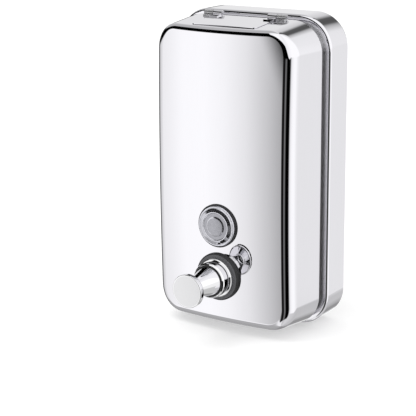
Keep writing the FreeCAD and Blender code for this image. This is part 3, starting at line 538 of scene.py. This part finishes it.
def paint_nodes():
    """Give every CAD node the finish of its own material slot, or of OWN_FINISH."""
    for name, node_object in NODES.items():
        for index, old in enumerate(list(node_object.data.materials)):
            node_object.data.materials[index] = FINISHES[OWN_FINISH.get(name, old.name.split(".")[0])]


# ---------------------------------------------------------------- turned pieces
# Outlines are (radius, distance out of the face, ease); ease rounds a corner off.
WINDOW_FACE = 67.49
PUMP_FACE = 66.74
TURN_STEPS = 144
EASE_STEPS = 5
SOFT_TURN = math.cos(math.radians(32.0))  # a corner that turns less than this is shaded smooth
DISH_STEPS = 8
FRONT_FACING = 0.95  # how squarely a polygon has to look forward to count as front
# Radius of the lens's forward dish that carries the painted shade.
LENS_PAINTED_SHADE_RADIUS = 8.8
BUTTON_RADIUS = 10.1
GASKET_FRONT_RADIUS = 15.5


def eased(corners):
    """Points of an outline, with each eased corner as a short curve."""
    points = []
    for i, (radius, out, ease) in enumerate(corners):
        here = Vector((radius, out))
        if not ease:
            points.append(here)
            continue
        before = (Vector(corners[i - 1][:2]) - here).normalized()
        after = (Vector(corners[(i + 1) % len(corners)][:2]) - here).normalized()
        for k in range(EASE_STEPS + 1):
            t = k / EASE_STEPS
            points.append(here + before * ease * (1 - t) ** 2 + after * ease * t * t)
    return points


def turned(name, corners, face, z, slot, body, stands_for=()):
    """Turn a closed outline round an axis along Y, with exact surface directions."""
    points = eased(corners)
    count = len(points)
    pairs = [(points[i], points[(i + 1) % count]) for i in range(count)]
    sign = 1.0 if sum(p.x * q.y - q.x * p.y for p, q in pairs) > 0 else -1.0
    facing = [Vector((q.y - p.y, p.x - q.x)).normalized() * sign for p, q in pairs]
    length = [(q - p).length for p, q in pairs]

    def direction(side, other):
        """Surface direction at a corner, seen from one side; soft turns are shared by both sides."""
        if facing[side].dot(facing[other]) < SOFT_TURN:
            return facing[side]
        return (facing[side] * length[side] + facing[other] * length[other]).normalized()

    angles = [math.tau * j / TURN_STEPS for j in range(TURN_STEPS)]
    turns = [(math.cos(angle), math.sin(angle)) for angle in angles]
    corners_3d, rings = [], []
    for p in points:
        if p.x == 0.0:
            rings.append([len(corners_3d)] * TURN_STEPS)
            corners_3d.append((0.0, -face - p.y, z))
            continue
        rings.append(list(range(len(corners_3d), len(corners_3d) + TURN_STEPS)))
        corners_3d += [(p.x * c, -face - p.y, z + p.x * s) for c, s in turns]
    faces, directions = [], []
    for i in range(count):
        following = (i + 1) % count
        if points[i].x == 0.0 and points[following].x == 0.0:
            continue
        start, end = direction(i, i - 1), direction(i, following)
        for j in range(TURN_STEPS):
            k = (j + 1) % TURN_STEPS
            loop = [(rings[i][j], start, j), (rings[i][k], start, k), (rings[following][k], end, k),
                    (rings[following][j], end, j)]
            if points[i].x == 0.0:
                loop.pop(0)
            elif points[following].x == 0.0:
                loop.pop(2)
            if sign < 0:
                loop.reverse()
            faces.append([vertex for vertex, _, _ in loop])
            directions += [(n.x * turns[t][0], -n.y, n.x * turns[t][1]) for _, n, t in loop]
    mesh = bpy.data.meshes.new(name)
    mesh.from_pydata([[v * MM for v in corner] for corner in corners_3d], [], faces)
    made = new_object(name, mesh, slot, body, stands_for)
    mesh.normals_split_custom_set(directions)
    return made


def dish(rim_radius, rim_out, middle_out):
    """Points of a shallow spherical front from its middle to its rim."""
    return [(rim_radius * k / DISH_STEPS, middle_out + (rim_out - middle_out) * (k / DISH_STEPS) ** 2, 0.0)
            for k in range(DISH_STEPS + 1)]


def face_front(made, finish, z, radius):
    """Give the faces that look forward within that radius a finish of their own."""
    made.data.materials.append(FINISHES[finish])
    for polygon in made.data.polygons:
        near = math.hypot(polygon.center.x, polygon.center.z - z * MM) < radius * MM
        polygon.material_index = 1 if near and polygon.normal.y < -FRONT_FACING else 0


def make_turned_pieces():
    """The stepped lens, the cone shaped knob with its flat button, and the flat gasket under the collar."""
    lens = turned("window_lens_drawn", dish(5.8, 3.45, 3.85) + [
        (6.6, 3.15, 0.25), (8.7, 3.0, 0.2), (9.1, 3.5, 0.2), (9.6, 3.55, 0.2), (11.8, 2.6, 0.2),
        (12.1, 2.15, 0.12), (12.4, 2.25, 0.12), (13.0, 2.2, 0.25), (13.3, 1.7, 0.3), (13.4, 0.9, 0.0),
        (10.0, 0.9, 0.0), (10.0, -9.0, 0.4), (7.6, -9.0, 0.4), (7.6, 0.6, 0.5), (0.0, 0.6, 0.0)],
        WINDOW_FACE, WINDOW_Z, "clear_acrylic", "tank", ("window_lens",))
    knob = turned("push_knob_drawn", dish(10.0, 37.08, 37.29) + [
        (10.8, 37.0, 0.45), (10.8, 33.8, 0.45), (9.9, 33.3, 0.5), (4.7, 33.1, 0.5), (4.7, 31.8, 0.5),
        (9.6, 12.9, 0.5), (9.6, 9.5, 0.3), (3.0, 9.5, 0.0), (3.0, 21.0, 0.0), (0.0, 21.0, 0.0)],
        PUMP_FACE, PUMP_Z, "chrome", "knob", ("push_knob",))
    # The gasket's sides and edges keep black rubber as painted shade round its edge; its forward face has its
    # own dark grey.
    gasket = turned("pump_gasket_drawn", [
        (11.2, 2.3, 0.0), (14.9, 2.4, 0.3), (15.7, 1.7, 0.3), (15.8, 0.2, 0.0), (15.8, -0.55, 0.0),
        (11.2, -0.55, 0.0)],
        PUMP_FACE, PUMP_Z, "black_rubber", "tank", ("pump_gasket",))
    face_front(gasket, "gasket_face", PUMP_Z, GASKET_FRONT_RADIUS)
    # The lens's forward dish gets painted shade for the dark tank behind it.
    face_front(lens, "lens_painted_shade", WINDOW_Z, LENS_PAINTED_SHADE_RADIUS)
    face_front(knob, "button_face", PUMP_Z, BUTTON_RADIUS)


# ---------------------------------------------------------------- studio
FLOOR_GAP = 0.0004
FLOOR_SIZE = 6.0
FLOOR_GLOW = 0.36
WHITE = (1.0, 1.0, 1.0, 1.0)
BLACK = (0.0, 0.0, 0.0, 1.0)
LIGHT_PLACE = (-0.5, -0.5, 1.4)
LIGHT_AIM = (0.0, 0.0, -0.1)
LIGHT_SIZE = 0.9
LIGHT_POWER = 6.0


def stops(points, scale=1.0, offset=0.0):
    """Ramp stops from (azimuth, value) pairs; azimuth 0 faces the object's front and 90 its right side."""
    return [((azimuth + 180.0) / 360.0, value * scale + offset) for azimuth, value in points]


def elevations(points):
    """Ramp stops for a border that is given as (azimuth, elevation) pairs."""
    return stops(points, 1 / 180.0, 0.5)


# What the mirror finish sees: a tall soft panel at the front left with a dark surround, open white on the
# right, a grey table below and white ceiling above. Each list goes round the object from behind, by its
# left, to behind. The levels follow how bright the real steel looks from the main camera, so they suit that
# view best.
PANEL_LEVELS = stops((
    (-180, 0.93), (-156, 0.93), (-148, 0.45), (-140, 0.16), (-112, 0.06), (-102, 0.35), (-90, 0.75),
    (-74, 0.85), (-60, 0.97), (-53, 1.06), (-47, 1.17), (-38, 1.18), (-30, 1.11), (-22, 0.95), (-14, 0.68),
    (-9.5, 0.5), (-6, 0.02), (10, 0.0), (15, 0.2), (21, 0.16), (27, 0.0), (50, 0.0), (58, 0.88), (66, 1.05),
    (80, 1.17), (98, 1.17), (114, 1.02), (136, 0.94), (180, 0.93)))
CEILING_LEVELS = stops((
    (-180, 0.1), (-172, 0.12), (-164, 0.72), (-152, 0.88), (-138, 0.85), (-126, 0.6), (-80, 0.5), (-60, 0.6),
    (-40, 1.1), (-20, 1.2), (8, 1.15), (28, 1.05), (60, 1.2), (125, 1.2), (142, 1.0), (160, 0.95), (170, 0.5),
    (175, 0.12), (180, 0.1)))
TABLE_LEVELS = stops((
    (-180, 0.34), (-150, 0.32), (-125, 0.48), (-95, 0.4), (-55, 0.5), (-34, 0.45), (-24, 0.58), (-14, 1.0),
    (4, 1.0), (16, 0.65), (45, 0.8), (100, 0.7), (135, 0.62), (165, 0.64), (180, 0.4)))
PANEL_TOP = elevations((
    (-180, 9), (-158, 9), (-146, -1), (-106, -4), (-92, -1), (-78, 4), (-60, 9), (-46, 15), (-38, 12),
    (-30, 3), (-19, 0), (-8, -6), (40, -8), (50, -2), (60, 9), (180, 9)))
CEILING_EDGE = elevations((
    (-180, 0), (-152, 1), (-132, 8), (-100, 24), (-80, 34), (-60, 49), (-46, 50), (-37, 43), (-30, 35),
    (-8, 33), (8, 32), (20, 26), (28, 8), (35, -3), (45, -7), (52, -1), (180, 0)))
TABLE_EDGE = elevations((
    (-180, -24), (-150, -36), (-14, -36), (-4, -54), (46, -54), (60, -38), (100, -36), (125, -21),
    (180, -21)))
PANEL_SOFTNESS, CEILING_SOFTNESS, TABLE_SOFTNESS = 3.0, 2.5, 3.0  # half widths of the borders, in degrees


def add_world():
    """Glossy rays see the studio pattern, and all others plain white."""
    world = bpy.data.worlds.new("studio")
    bpy.context.scene.world = world
    world.use_nodes = True
    tree = world.node_tree
    background = tree.nodes["Background"]
    place = tree.nodes.new("ShaderNodeTexCoord")
    split = tree.nodes.new("ShaderNodeSeparateXYZ")
    tree.links.new(place.outputs["Generated"], split.inputs[0])
    x, y, z = split.outputs
    around = math_node(tree, "ARCTAN2", x, math_node(tree, "MULTIPLY", y, -1.0))
    share = map_range(tree, around, -math.pi, math.pi, 0.0, 1.0)
    height = math_node(tree, "MULTIPLY", math_node(tree, "ARCSINE", z), 180.0 / math.pi)

    def border(points):
        return map_range(tree, ramp(tree, share, points), 0.0, 1.0, -90.0, 90.0)

    def above(edge, softness):
        over = math_node(tree, "SUBTRACT", height, edge)
        return map_range(tree, over, -softness, softness, 0.0, 1.0, smooth=True)

    level = ramp(tree, share, PANEL_LEVELS)
    ceiling = ramp(tree, share, CEILING_LEVELS)
    table = ramp(tree, share, TABLE_LEVELS)
    level = mix(tree, "RGBA", above(border(PANEL_TOP), PANEL_SOFTNESS), level, BLACK)
    level = mix(tree, "RGBA", above(border(CEILING_EDGE), CEILING_SOFTNESS), level, ceiling)
    level = mix(tree, "RGBA", above(border(TABLE_EDGE), TABLE_SOFTNESS), table, level)
    rays = tree.nodes.new("ShaderNodeLightPath")
    tree.links.new(mix(tree, "RGBA", rays.outputs["Is Glossy Ray"], WHITE, level), background.inputs["Color"])


def add_floor():
    """A plain pale floor just under the object."""
    z = cad_bounds[0][2] - FLOOR_GAP
    half = FLOOR_SIZE / 2
    mesh = bpy.data.meshes.new("floor")
    corners = [(-half, -half, z), (half, -half, z), (half, half, z), (-half, half, z)]
    mesh.from_pydata(corners, [], [(0, 1, 2, 3)])
    floor = bpy.data.objects.new("floor", mesh)
    bpy.context.scene.collection.objects.link(floor)
    mesh.materials.append(finish_material(
        "floor", ((0.73, 0.73, 0.73), (0.75, 0.75, 0.75)), (40.0, ROUND), (0.5, 0.6),
        constants={"Specular IOR Level": 0.0, "Emission Color": WHITE, "Emission Strength": FLOOR_GLOW}))
    floor.visible_glossy = False


def add_light():
    """One soft square light overhead, at the front left."""
    light = bpy.data.objects.new("overhead", bpy.data.lights.new("overhead", "AREA"))
    light.data.shape = "SQUARE"
    light.data.size = LIGHT_SIZE
    light.data.energy = LIGHT_POWER
    light.location = LIGHT_PLACE
    light.rotation_euler = (Vector(LIGHT_AIM) - Vector(LIGHT_PLACE)).to_track_quat("-Z", "Y").to_euler()
    light.visible_glossy = False
    light.visible_camera = False
    bpy.context.scene.collection.objects.link(light)


bpy.context.scene.view_settings.view_transform = "Standard"
add_world()
add_floor()
add_light()
paint_nodes()
make_front_shell()
make_turned_pieces()
